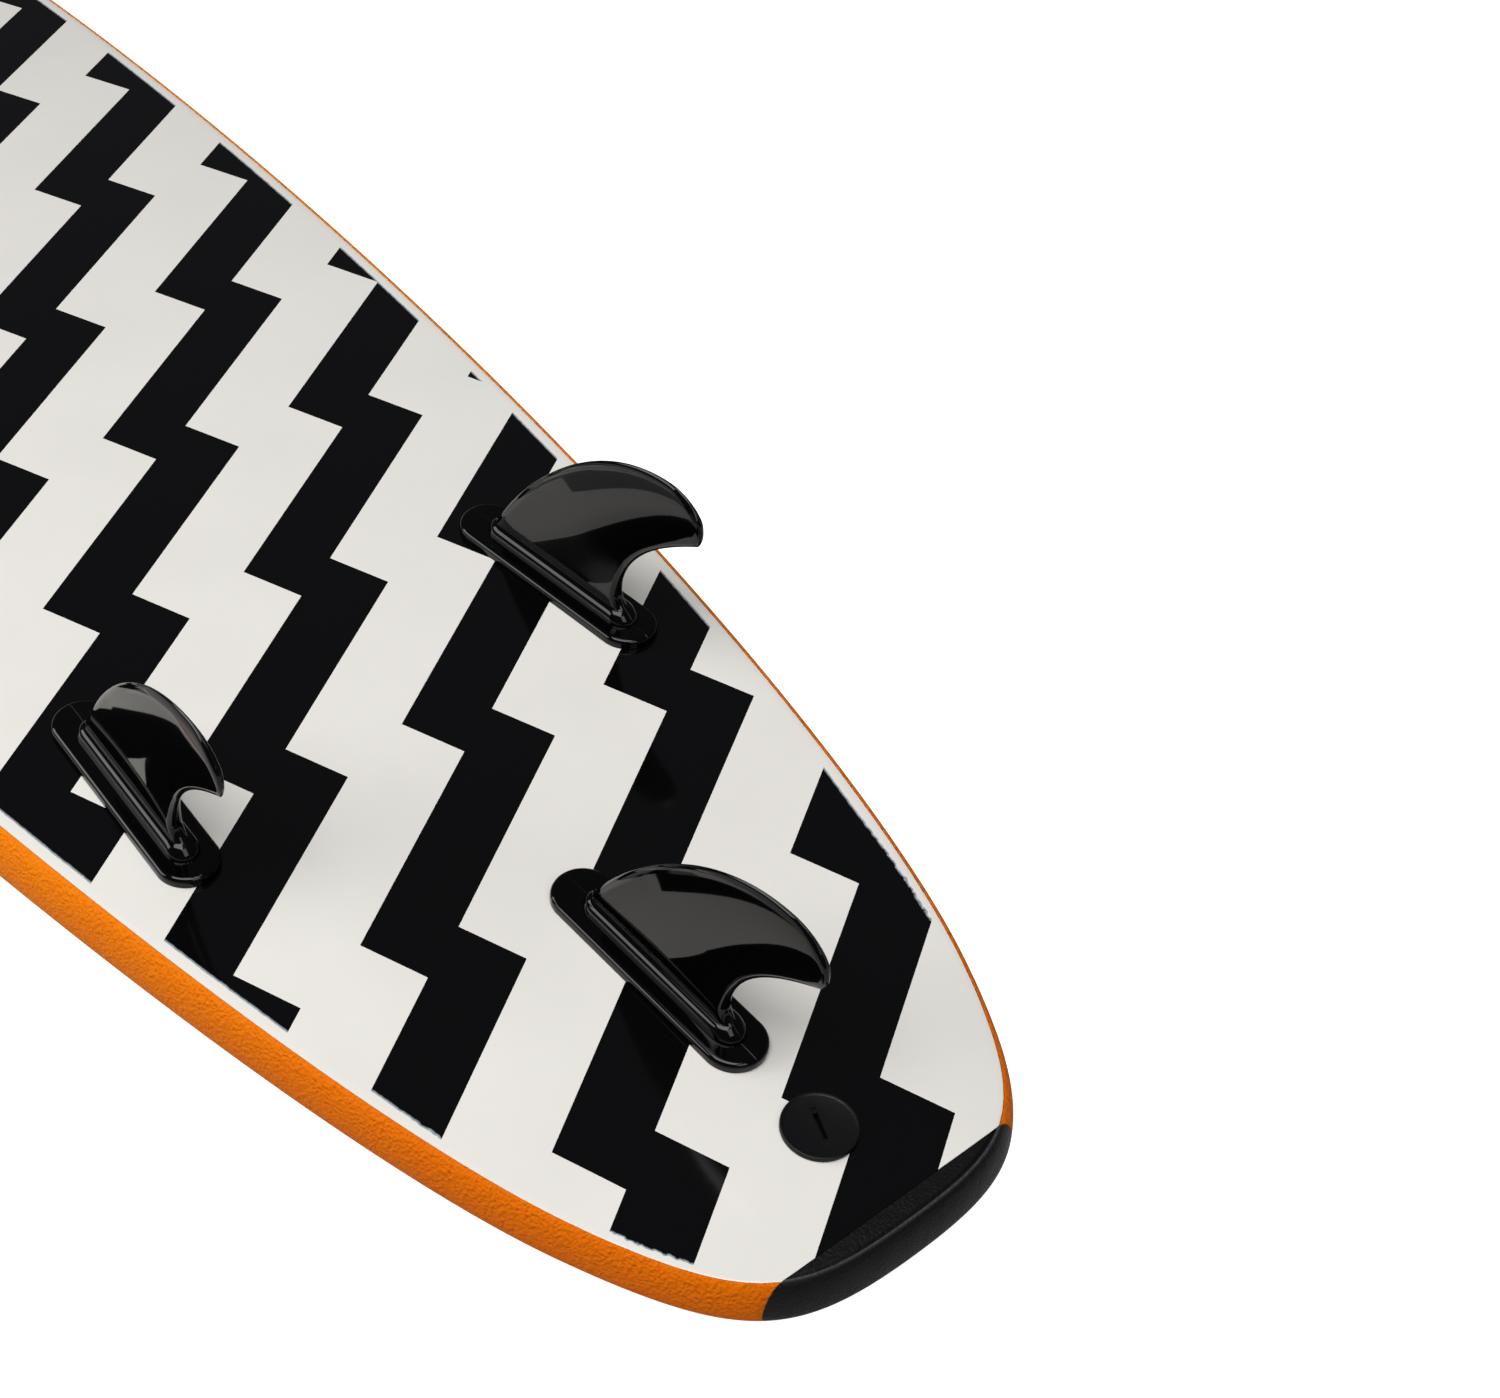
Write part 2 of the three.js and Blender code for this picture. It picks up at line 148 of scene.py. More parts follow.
SOFTBOXES = {
    # name: (place, size across and up, watts), all aimed at the tail
    "overhead": ((1.2, -0.6, 2.6), (2.0, 1.6), 60),
    "nose_side": ((-1.0, -2.0, 1.5), (2.4, 1.5), 55),
    "tail_side": ((2.9, -0.3, 1.9), (1.0, 1.4), 12),
}
for name, (place, size, watts) in SOFTBOXES.items():
    light = bpy.data.lights.new(name, "AREA")
    light.shape = "RECTANGLE"
    light.size, light.size_y = size
    light.energy = watts
    box = bpy.data.objects.new(name, light)
    box.location = place
    box.rotation_euler = (Vector((0.8, 0, 0)) - Vector(place)).to_track_quat("-Z", "Y").to_euler()
    scene.collection.objects.link(box)


# ---- Bottom sheet -------------------------------------------------------------------------------
# A hard polyethylene sheet, white, printed with black stepped bands under its gloss, and bonded to
# the foam. It is flat across the board and follows the rocker from nose to tail.
MM = 0.001
HALF = 1219.0            # half of eight feet, in millimetres like every size below
HALF_WIDTH = 286.0
NOSE_CUT = -1140.0       # the sheet and the skins run from the nose bumper to the tail bumper
TAIL_CUT = 1200.0
GAP = 0.15
SHEET_THICKNESS = 1.5
SPINE_END = HALF - 90
DECK_POWER = 2.8


def slick_z(x):
    """Height of the bottom: a parabola along the board, plus a cube that is stronger to the nose."""
    cubic = np.where(x > 0, 7.727e-9, 45e-9)
    return 104.569 - 0.02568 * x - 17.92e-6 * x**2 - cubic * np.abs(x) ** 3


def slick_slope(x):
    """Slope of the bottom along the board, over one millimetre to each side."""
    return (slick_z(x + 1) - slick_z(x - 1)) / 2


def thickness(x):
    """Thickness of the board on its centre line: full at the middle, by a power law to the ends."""
    return 86 * (1 - 0.61 * np.abs(x / HALF) ** 2.2)


def rail_depth(x):
    """Depth below the sheet at which the rail is widest."""
    return 13 + 0.15 * thickness(x)


def edge_inset(x):
    """Distance of the sheet's edge in from the widest line of the rail."""
    return 0.38 * rail_depth(x)


def half_outline(per_curve):
    """Three cubic Bezier curves: nose tip, wide point, tail corner, centre of the tail's end."""
    curves = np.array([
        [(-HALF, 0), (-HALF, 215), (-700, HALF_WIDTH), (-60, HALF_WIDTH)],
        [(-60, HALF_WIDTH), (430, HALF_WIDTH), (951, 213), (1112, 143)],
        [(1112, 143), (1204, 103), (HALF, 80), (HALF, 0)],
    ], dtype=float)
    t = np.linspace(0, 1, per_curve + 1)[:, None]
    weights = [(1 - t) ** 3, 3 * t * (1 - t) ** 2, 3 * t**2 * (1 - t), t**3]
    points = [sum(w * p for w, p in zip(weights, curve)) for curve in curves]
    return np.vstack([points[0], points[1][1:], points[2][1:]])


outline = half_outline(400)
walk = np.concatenate([[0], np.cumsum(np.hypot(*np.diff(outline, axis=0).T))])
spine_x = np.clip(outline[:, 0], -SPINE_END, SPINE_END)
reach = np.hypot(outline[:, 0] - spine_x, outline[:, 1])


def ring(inset, depth, inward=0.0, on_deck=False):
    """One line round half the board: each outline point moved `inset` towards the spine, at a depth
    below the bottom. On the deck the depth is the superellipse that falls from the rail to full
    thickness at the spine, with every surface `inward` of the true one."""
    share = inset / reach
    x = outline[:, 0] + (spine_x - outline[:, 0]) * share
    y = outline[:, 1] * (1 - share)
    if on_deck:
        rail = rail_depth(outline[:, 0])
        across = np.clip((reach - inset) / (reach - inward), 0, 1)
        depth = rail + (thickness(x) - rail - inward) * (1 - across**DECK_POWER) ** (1 / DECK_POWER)
    return np.stack([x, y, slick_z(x) - depth], axis=1)


def stretch(line, x_from, x_to, count):
    """Points evenly spaced along a ring, from where it crosses one x to where it crosses another."""
    ends = np.interp([x_from, x_to], line[:, 0], walk)
    at = np.linspace(*ends, count)
    return np.stack([np.interp(at, walk, line[:, k]) for k in range(3)], axis=1)


def mesh_piece(name, points, faces, material, body, sharp=40.0):
    """Makes a piece from millimetre points: doubles merged, normals outward, smooth but for edges
    sharper than `sharp` degrees."""
    mesh = bpy.data.meshes.new(name)
    mesh.from_pydata((np.asarray(points) * MM).tolist(), [], faces)
    work = bmesh.new()
    work.from_mesh(mesh)
    bmesh.ops.remove_doubles(work, verts=work.verts, dist=2e-6)
    bmesh.ops.dissolve_degenerate(work, edges=work.edges, dist=1e-6)
    bmesh.ops.recalc_face_normals(work, faces=work.faces)
    work.to_mesh(mesh)
    work.free()
    mesh.shade_smooth()
    mesh.set_sharp_from_angle(angle=math.radians(sharp))
    mesh.materials.append(material)
    piece = bpy.data.objects.new(name, mesh)
    scene.collection.objects.link(piece)
    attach(piece, body)
    return piece


def vertex_points(mesh):
    """A mesh's vertices in millimetres, one row each."""
    points = np.empty(len(mesh.vertices) * 3)
    mesh.vertices.foreach_get("co", points)
    return points.reshape(-1, 3) / MM


def add_uv(mesh, name, uv):
    """Adds a UV layer, from a pair of millimetres for each vertex."""
    corners = np.empty(len(mesh.loops), dtype=int)
    mesh.loops.foreach_get("vertex_index", corners)
    layer = mesh.uv_layers.new(name=name)
    layer.data.foreach_set("uv", (uv * MM)[corners].ravel())


def add_value(mesh, name, values):
    """Adds a named value for each vertex, which a material can read."""
    attribute = mesh.attributes.new(name, "FLOAT", "POINT")
    attribute.data.foreach_set("value", values.astype(np.float32))


def grid_faces(rows, columns, start=0, wrap_rows=False, wrap_columns=False):
    """Quads of a grid of points stored row by row, joined round where a direction wraps."""
    r = np.arange(rows if wrap_rows else rows - 1)[:, None]
    c = np.arange(columns if wrap_columns else columns - 1)[None, :]
    r1, c1 = (r + 1) % rows, (c + 1) % columns
    quads = np.stack([r * columns + c, r1 * columns + c, r1 * columns + c1, r * columns + c1], axis=-1)
    return (quads.reshape(-1, 4) + start).tolist()


def sheet_between(outer, inner):
    """Closes two grids of the same size into a solid sheet: both faces, and a strip round the rim."""
    rows, columns = outer.shape[:2]
    size = rows * columns
    faces = grid_faces(rows, columns) + grid_faces(rows, columns, size)
    order = np.arange(size).reshape(rows, columns)
    rim = np.concatenate([order[0, :-1], order[:-1, -1], order[-1, :0:-1], order[:0:-1, 0]])
    after = np.roll(rim, -1)
    faces += np.stack([rim, after, after + size, rim + size], axis=1).tolist()
    return np.concatenate([outer.reshape(-1, 3), inner.reshape(-1, 3)]), faces


def slick_frame(x, y, toe):
    """Place on the bottom: Z along its normal, X to the tail and turned by the toe-in angle."""
    return (
        Matrix.Translation((x, y, float(slick_z(x))))
        @ Matrix.Rotation(-math.atan(slick_slope(x)), 4, "Y")
        @ Matrix.Rotation(math.radians(toe) * np.sign(y), 4, "Z")
    )


def place(points, matrix):
    """Moves an array of points by a 4 x 4 matrix."""
    m = np.array(matrix)
    return np.asarray(points) @ m[:3, :3].T + m[:3, 3]


def half_width(line):
    """Half width of a ring as a function of x."""
    return lambda x: np.interp(x, line[:, 0], line[:, 1])


LEASH_X = 1146.0
POST_SPACING = 90.0
FINS = {
    "left": (747.0, -151.0, 4.5),
    "centre": (1019.5, 0.0, 0.0),
    "right": (747.0, 151.0, 4.5),
}
ENDS = {"front": -POST_SPACING / 2, "rear": POST_SPACING / 2}
leash_frame = slick_frame(LEASH_X, 0.0, 0.0)
post_frames = {
    f"{side}_{end}": slick_frame(*at) @ Matrix.Translation((along, 0, 0))
    for side, at in FINS.items()
    for end, along in ENDS.items()
}


def turned(profile, segments=48):
    """A profile of (radius, z) pairs carried round the Z axis. It is closed on itself, unless it
    starts and ends on the axis."""
    profile = np.array(profile, dtype=float)
    turn = np.linspace(0, 2 * np.pi, segments, endpoint=False)
    r, z = profile[:, 0][:, None], profile[:, 1][:, None]
    points = np.stack([r * np.cos(turn), r * np.sin(turn), z + 0 * turn], axis=-1)
    closed = profile[0, 0] > 0
    faces = grid_faces(len(profile), segments, wrap_rows=closed, wrap_columns=True)
    return points.reshape(-1, 3), faces


def cut_out(piece, solids):
    """Takes closed solids, each (points, faces, matrix), out of a piece for good."""
    points, faces = [], []
    for solid_points, solid_faces, matrix in solids:
        start = sum(len(p) for p in points)
        points.append(place(solid_points, matrix))
        faces += [[start + i for i in face] for face in solid_faces]
    mesh = bpy.data.meshes.new("cutter")
    mesh.from_pydata((np.concatenate(points) * MM).tolist(), [], faces)
    work = bmesh.new()
    work.from_mesh(mesh)
    bmesh.ops.remove_doubles(work, verts=work.verts, dist=2e-6)
    bmesh.ops.recalc_face_normals(work, faces=work.faces)
    work.to_mesh(mesh)
    work.free()
    cutter = bpy.data.objects.new("cutter", mesh)
    scene.collection.objects.link(cutter)
    modifier = piece.modifiers.new("holes", "BOOLEAN")
    modifier.object = cutter
    modifier.operation = "DIFFERENCE"
    modifier.solver = "EXACT"
    evaluated = piece.evaluated_get(bpy.context.evaluated_depsgraph_get())
    cut = bpy.data.meshes.new_from_object(evaluated)
    piece.modifiers.clear()
    piece.data = cut
    bpy.data.objects.remove(cutter)


def rod(radius, low, high, segments=48):
    """A plain cylinder about Z."""
    return turned([(0, low), (radius, low), (radius, high), (0, high)], segments)


edge_line = ring(edge_inset(outline[:, 0]), 0.0)
sheet_half = half_width(edge_line)

# The bands' lattice on the sheet, in millimetres from the leash plug along the board and across it.
LATTICE_START = (-759.5, 232.1)
STEP_ALONG = (119.9, -115.3)      # from one step of a band to the next
STEP_ACROSS = (44.8, 113.9)       # from one band to the next
SHORT_SIDE = (39.3, 15.5)         # the short side of each step
BAND_WIDTH = (21.3, 49.4)         # from a band's left side to its right side


PRINT_MARGIN = 6.5                # white border between the print and the sheet's edge
to_steps = np.linalg.inv(np.array([STEP_ALONG, STEP_ACROSS]).T)   # millimetres to steps of the lattice
short_along, short_across = to_steps @ SHORT_SIDE
width_along, width_across = to_steps @ BAND_WIDTH

# High-density polyethylene film over print: semi-gloss, so it takes soft reflections, over a warm white.
printed_sheet, tree, shader = new_material("printed_polyethylene_sheet")
map_uv = add_node(tree, "ShaderNodeUVMap", uv_map="sheet").outputs["UV"]
start = (LATTICE_START[0] * MM, LATTICE_START[1] * MM, 0)
from_start = add_node(tree, "ShaderNodeVectorMath", {0: map_uv, 1: start}, operation="SUBTRACT").outputs[0]
along, across = [
    add_node(tree, "ShaderNodeVectorMath", {0: from_start, 1: (*row / MM, 0)},
             operation="DOT_PRODUCT").outputs["Value"]
    for row in to_steps
]


def stepped(tree, along, across, shift_along, shift_across):
    """Distance across the lattice from a stepped side: across, less a saw that climbs over the short
    side of each step and falls back over its long side."""
    moved = add_node(tree, "ShaderNodeMath", {0: along, 1: shift_along}, operation="SUBTRACT").outputs[0]
    phase = add_node(tree, "ShaderNodeMath", {0: moved}, operation="FRACT").outputs[0]
    climb = add_node(tree, "ShaderNodeMath", {0: phase, 1: short_across / short_along},
                     operation="MULTIPLY").outputs[0]
    slope = short_across / (1 - short_along)
    fall = add_node(tree, "ShaderNodeMath", {0: phase, 1: -slope, 2: slope},
                    operation="MULTIPLY_ADD").outputs[0]
    saw = add_node(tree, "ShaderNodeMath", {0: climb, 1: fall}, operation="MINIMUM").outputs[0]
    level = add_node(tree, "ShaderNodeMath", {0: across, 1: saw}, operation="SUBTRACT").outputs[0]
    return add_node(tree, "ShaderNodeMath", {0: level, 1: shift_across}, operation="SUBTRACT").outputs[0]


left_side = stepped(tree, along, across, 0.0, 0.0)
right_side = stepped(tree, along, across, width_along, width_across)
band_number = add_node(tree, "ShaderNodeMath", {0: left_side}, operation="FLOOR").outputs[0]
past_right = add_node(tree, "ShaderNodeMath", {0: right_side, 1: band_number},
                      operation="SUBTRACT").outputs[0]
in_band = add_node(tree, "ShaderNodeMath", {0: past_right, 1: 0.0}, operation="LESS_THAN").outputs[0]

edge_gap = add_node(tree, "ShaderNodeAttribute", attribute_name="edge_gap").outputs["Fac"]
object_place = add_node(tree, "ShaderNodeTexCoord").outputs["Object"]
place_x = add_node(tree, "ShaderNodeSeparateXYZ", {"Vector": object_place}).outputs["X"]
# The ink's edge wavers by about a millimetre, and by five where the rail turns in to the tail.
torn = add_node(tree, "ShaderNodeMapRange", {
    "Value": place_x, "From Min": 1.00, "From Max": 1.05, "To Min": 1.2, "To Max": 5.0}).outputs["Result"]
ragged = add_node(tree, "ShaderNodeTexNoise", {
    "Vector": object_place, "Scale": 260.0, "Detail": 4.0}).outputs["Fac"]
wavy_gap = add_node(tree, "ShaderNodeMath", {0: ragged, 1: torn, 2: edge_gap},
                    operation="MULTIPLY_ADD").outputs[0]
inside = add_node(tree, "ShaderNodeMapRange", {
    "Value": wavy_gap, "From Min": PRINT_MARGIN + 0.6, "From Max": PRINT_MARGIN + 1.0}).outputs["Result"]
ink = add_node(tree, "ShaderNodeMath", {0: in_band, 1: inside}, operation="MULTIPLY").outputs[0]
fringe = add_node(tree, "ShaderNodeMapRange", {
    "Value": wavy_gap, "From Min": PRINT_MARGIN + 1.4, "From Max": PRINT_MARGIN + 2.2,
    "To Min": 1.0, "To Max": 0.0}).outputs["Result"]
mottle = add_node(tree, "ShaderNodeTexNoise", {
    "Vector": object_place, "Scale": 14.0, "Detail": 5.0}).outputs["Fac"]
white = add_node(tree, "ShaderNodeMix", {"Factor": mottle, 6: linear("#e2dfd9"), 7: linear("#dad7d1")},
                 data_type="RGBA").outputs[2]
ink_colour = add_node(tree, "ShaderNodeMix", {"Factor": fringe, 6: linear("#050506"), 7: linear("#8f9ba0")},
                      data_type="RGBA").outputs[2]
colour = add_node(tree, "ShaderNodeMix", {"Factor": ink, 6: white, 7: ink_colour},
                  data_type="RGBA").outputs[2]
tree.links.new(colour, shader.inputs["Base Color"])
shader.inputs["Roughness"].default_value = 0.09
shader.inputs["IOR"].default_value = 1.46
ripple = add_node(tree, "ShaderNodeTexNoise", {
    "Vector": object_place, "Scale": 22.0, "Detail": 2.0}).outputs["Fac"]
bump = add_node(tree, "ShaderNodeBump", {"Height": ripple, "Strength": 0.2, "Distance": 0.0004})
tree.links.new(bump.outputs["Normal"], shader.inputs["Normal"])

STATIONS = 420                    # rows of points along the board
ROLL_DOWN = 0.35                  # the sheet's edge rolls down a little where it meets the rail
x = np.linspace(NOSE_CUT + GAP, TAIL_CUT - GAP, STATIONS)[:, None]
across_share = np.sin(np.linspace(-np.pi / 2, np.pi / 2, 61))[None, :]
y = sheet_half(x) * across_share
gap_to_edge = sheet_half(x) * (1 - np.abs(across_share))
top = np.stack([x + 0 * y, y, slick_z(x) - ROLL_DOWN * np.exp(-gap_to_edge / 1.5)], axis=-1)
below = np.stack([x + 0 * y, y, slick_z(x) - SHEET_THICKNESS + 0 * y], axis=-1)
bottom_slick = mesh_piece("bottom_sheet", *sheet_between(top, below), printed_sheet, "board")
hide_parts("bottom_slick")
post_holes = [(*rod(7.3, -10, 10), matrix) for matrix in post_frames.values()]
cut_out(bottom_slick, post_holes + [(*rod(9.4, -10, 10), leash_frame)])

points = vertex_points(bottom_slick.data)
print_along = (points - np.array(leash_frame.translation)) @ np.array(leash_frame.to_3x3().col[0])
add_uv(bottom_slick.data, "sheet", np.stack([print_along, points[:, 1]], axis=1))
add_value(bottom_slick.data, "edge_gap", sheet_half(points[:, 0]) - np.abs(points[:, 1]))


# ---- Rails --------------------------------------------------------------------------------------
# Orange closed-cell foam skin, five millimetres thick, heat-bonded round each side of the core from
# the bottom sheet to the deck seam. Stretching it leaves a fine leathery crinkle.
SKIN = 5.0
SEAM_INSET = 38.0
RAIL_POWER = 1.12                 # 1 would be a quarter ellipse, 2 a straight chamfer

# Matt foam skin, almost without a shine. Its wrinkles are 2 mm apart and cross like leather grain. Its
# orange varies in patches, and is darkened towards the tail by painted shade, where the studio light falls
# off.
foam_skin, tree, shader = new_material("crinkled_orange_foam_skin")
object_place = add_node(tree, "ShaderNodeTexCoord").outputs["Object"]
warp = add_node(tree, "ShaderNodeTexNoise", {"Vector": object_place, "Scale": 160.0, "Detail": 3.0})
warped = add_node(tree, "ShaderNodeVectorMath", {0: warp.outputs["Color"], 1: (0.004,) * 3, 2: object_place},
                  operation="MULTIPLY_ADD").outputs["Vector"]
cells = add_node(tree, "ShaderNodeTexVoronoi", {"Vector": warped, "Scale": 520.0},
                 feature="SMOOTH_F1").outputs["Distance"]
fine = add_node(tree, "ShaderNodeTexNoise", {
    "Vector": object_place, "Scale": 700.0, "Detail": 3.0}).outputs["Fac"]
height = add_node(tree, "ShaderNodeMath", {0: fine, 1: 0.35, 2: cells}, operation="MULTIPLY_ADD").outputs[0]
bump = add_node(tree, "ShaderNodeBump", {"Height": height, "Strength": 0.9, "Distance": 0.0013})
tree.links.new(bump.outputs["Normal"], shader.inputs["Normal"])
place_x = add_node(tree, "ShaderNodeSeparateXYZ", {"Vector": object_place}).outputs["X"]
patchy = add_node(tree, "ShaderNodeTexNoise", {
    "Vector": object_place, "Scale": 30.0, "Detail": 4.0}).outputs["Fac"]
# Painted shade: the orange is darkened towards the tail, standing in for the light that falls off there.
painted_tail_shade = add_node(tree, "ShaderNodeMapRange", {
    "Value": place_x, "From Min": 0.35, "From Max": 1.10}).outputs["Result"]
tone_and_painted_shade = add_node(tree, "ShaderNodeMath", {0: patchy, 1: 0.15, 2: painted_tail_shade},
                  operation="MULTIPLY_ADD").outputs[0]
colour = add_node(tree, "ShaderNodeMix", {"Factor": tone_and_painted_shade, 6: linear("#f88c00"), 7: linear("#d86800")},
                  data_type="RGBA").outputs[2]
tree.links.new(colour, shader.inputs["Base Color"])
shader.inputs["Roughness"].default_value = 0.6
shader.inputs["Specular IOR Level"].default_value = 0.06


def rail_rows(inward, trim):
    """Rings of the rail's surface `inward` of the true one: a quarter superellipse, a little flatter
    than an ellipse, from the sheet's edge to the widest line, then the deck side in to the seam. The
    rings are closer together where the surface turns."""
    x0 = outline[:, 0]
    edge, rail = edge_inset(x0), rail_depth(x0)
    rows = []
    for angle in np.linspace(0, np.pi / 2, 16)[:-1]:
        inset = edge - trim - (edge - trim - inward) * np.sin(angle) ** RAIL_POWER
        rows.append(ring(inset, rail - (rail - inward) * np.cos(angle) ** RAIL_POWER))
    for share in np.linspace(0, 1, 16):
        inset = inward + (SEAM_INSET - trim - inward) * share**DECK_POWER
        rows.append(ring(inset, None, inward, on_deck=True))
    return rows


def rail_grid(inward, side):
    """The rail's rings from one bumper to the other, on one side of the board."""
    lines = [stretch(row, NOSE_CUT + GAP, TAIL_CUT - GAP, 520) for row in rail_rows(inward, 0.3)]
    return np.array(lines) * (1, side, 1)


for side, name in ((-1, "left"), (1, "right")):
    points, faces = sheet_between(rail_grid(0.0, side), rail_grid(SKIN, side))
    rail = mesh_piece(f"rail_foam_{name}", points, faces, foam_skin, "board")
    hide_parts(f"rail_skin_{name}")


# ---- Deck skin ----------------------------------------------------------------------------------
# The same foam skin covers the deck between the two seams and runs on to the tail bumper. It is cut
# out for the flanges of the fin plugs and of the leash cup.
TAIL_TONGUE = 63.0                # half width at which the skin runs on to the tail bumper


def tip_reach(end, bearing):
    """Distance from the spine's end to the outline round one tip, at a bearing off the centre line."""
    tip = outline[end * outline[:, 0] >= SPINE_END]
    along = np.abs(tip[:, 0]) - SPINE_END
    tip_bearing = np.arctan2(tip[:, 1], along)
    order = np.argsort(tip_bearing)
    return np.interp(bearing, tip_bearing[order], np.hypot(along, tip[:, 1])[order])


def deck_z(x, y, inward):
    """Height of the deck at (x, y): the same superellipse as the rings, along the straight line from
    the spine through the point to the outline."""
    spine = np.clip(x, -SPINE_END, SPINE_END)
    out = np.hypot(x - spine, y)
    bearing = np.arctan2(np.abs(y), np.abs(x - spine))
    beyond = np.abs(x) > SPINE_END
    edge_x = np.where(beyond, 0.0, x)
    far = np.interp(np.where(beyond, 0, x), outline[:, 0], outline[:, 1])
    for end in (-1, 1):
        here = beyond & (end * x > 0)
        reach_here = tip_reach(end, bearing)
        far = np.where(here, reach_here, far)
        edge_x = np.where(here, end * (SPINE_END + reach_here * np.cos(bearing)), edge_x)
    rail = rail_depth(edge_x)
    share = np.clip(out / (far - inward), 0, 1)
    depth = rail + (thickness(x) - rail - inward) * (1 - share**DECK_POWER) ** (1 / DECK_POWER)
    return slick_z(x) - depth


seam_line = ring(np.full(len(outline), SEAM_INSET), None, 0.0, on_deck=True)
to_seam = half_width(seam_line)(x)
deck_half = np.where(x > SPINE_END, np.maximum(to_seam, TAIL_TONGUE), to_seam)
y = deck_half * np.linspace(-1, 1, 81)[None, :]
deck_sides = [np.stack([x + 0 * y, y, deck_z(x + 0 * y, y, inward)], axis=-1) for inward in (0.0, SKIN)]
deck = mesh_piece("deck_foam", *sheet_between(*deck_sides), foam_skin, "board")
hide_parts("deck_skin")
plug_holes = [(*rod(15.5, -120, -20), m) for m in post_frames.values()]
cut_out(deck, plug_holes + [(*rod(20.6, -120, -20), leash_frame)])


# ---- Bumpers ------------------------------------------------------------------------------------
# Black moulded foam rubber with a fine grain. One is a hollow cap over the nose, the other a solid
# block across the squared tail, creased where its flap meets the end wall.
CREASE = np.linspace(-4.0, 2.4, 22)   # steps across the crease, outward from the sheet's edge

# Foam rubber from a mould: nearly black, grained and faintly dented, with a painted highlight that greys the
# bead along the crease.
bumper_foam, tree, shader = new_material("grained_black_foam_rubber")
object_place = add_node(tree, "ShaderNodeTexCoord").outputs["Object"]
grain = add_node(tree, "ShaderNodeTexNoise", {
    "Vector": object_place, "Scale": 620.0, "Detail": 4.0}).outputs["Fac"]
dents = add_node(tree, "ShaderNodeTexNoise", {
    "Vector": object_place, "Scale": 85.0, "Detail": 2.0}).outputs["Fac"]
height = add_node(tree, "ShaderNodeMath", {0: dents, 1: 1.2, 2: grain}, operation="MULTIPLY_ADD").outputs[0]
bump = add_node(tree, "ShaderNodeBump", {"Height": height, "Strength": 0.6, "Distance": 0.0007})
tree.links.new(bump.outputs["Normal"], shader.inputs["Normal"])
black = add_node(tree, "ShaderNodeMix", {"Factor": grain, 6: linear("#080809"), 7: linear("#121214")},
                 data_type="RGBA").outputs[2]
# Painted highlight: the bead is lightened to grey where light would catch it, broken up by the grain.
painted_bead_highlight = add_node(tree, "ShaderNodeAttribute", attribute_name="painted_bead_highlight").outputs["Fac"]
grained_bead_highlight = add_node(tree, "ShaderNodeMath", {0: painted_bead_highlight, 1: grain}, operation="MULTIPLY").outputs[0]
colour = add_node(tree, "ShaderNodeMix", {"Factor": grained_bead_highlight, 6: black, 7: linear("#5c5c60")},
                  data_type="RGBA").outputs[2]
tree.links.new(colour, shader.inputs["Base Color"])
shader.inputs["Roughness"].default_value = 0.4
shader.inputs["Specular IOR Level"].default_value = 0.14


def cap_rows(reach_in, inward):
    """Rings of a bumper from its back edge on the bottom round to its back edge on the deck. Across
    the crease a groove and a bead, each a bell curve, are added to the flap and the wall."""
    x0 = outline[:, 0]
    edge, rail = edge_inset(x0), rail_depth(x0)
    back = np.minimum(reach_in, reach - 1e-3)
    wall_start = np.arcsin((CREASE[-1] / edge) ** (1 / RAIL_POWER))

    def wall(angle):
        inset = edge - (edge - inward) * np.sin(angle) ** RAIL_POWER
        return inset, rail - (rail - inward) * np.cos(angle) ** RAIL_POWER

    rows = []
    for share in np.linspace(0, 1, 9)[:-1]:
        rows.append(ring(back + (edge - CREASE[0] - back) * share, inward))
    for out in CREASE:
        inset, depth = wall(np.arcsin((max(out, 0) / edge) ** (1 / RAIL_POWER)))
        groove = 0.9 * math.exp(-((out + 1.7) / 0.8) ** 2)
        bead = 0.9 * math.exp(-(out / 0.8) ** 2)
        rows.append(ring(inset - min(out, 0), depth + groove - bead))
    for share in np.linspace(0, 1, 14)[1:-1]:
        rows.append(ring(*wall(wall_start + (np.pi / 2 - wall_start) * share)))
    for share in np.linspace(0, 1, 22):
        rows.append(ring(inward + (back - inward) * share**DECK_POWER, None, inward, on_deck=True))
    return rows


def cap_grid(end, cut, reach_in, inward):
    """Each ring from the cut round the tip to the cut on the other side. The first and last lie on
    the cut itself."""
    lines = []
    for row in cap_rows(reach_in, inward):
        rising = np.maximum.accumulate(end * row[::end, 0])[::end]
        crossing = np.interp(cut, end * rising, walk)
        at = np.linspace(crossing, walk[-1] if end > 0 else walk[0], 60)
        line = np.stack([np.interp(at, walk, row[:, k]) for k in range(3)], axis=1)
        lines.append(np.concatenate([line * (1, -1, 1), line[-2::-1]]))
    grid = np.array(lines)
    grid[[0, -1], :, 0] = cut
    return grid


def paint_crease_highlight(piece, end):
    """Marks the painted highlight that greys the bead: a bell curve of the distance across the crease."""
    x, y, z = vertex_points(piece.data).T
    along = end * x - SPINE_END
    far = tip_reach(end, np.arctan2(np.abs(y), along))
    out = edge_inset(x) - (far - np.hypot(along, y))
    on_top = slick_z(x) - z < 2.0
    add_value(piece.data, "painted_bead_highlight", on_top * np.exp(-((out - 0.2) / 0.65) ** 2))


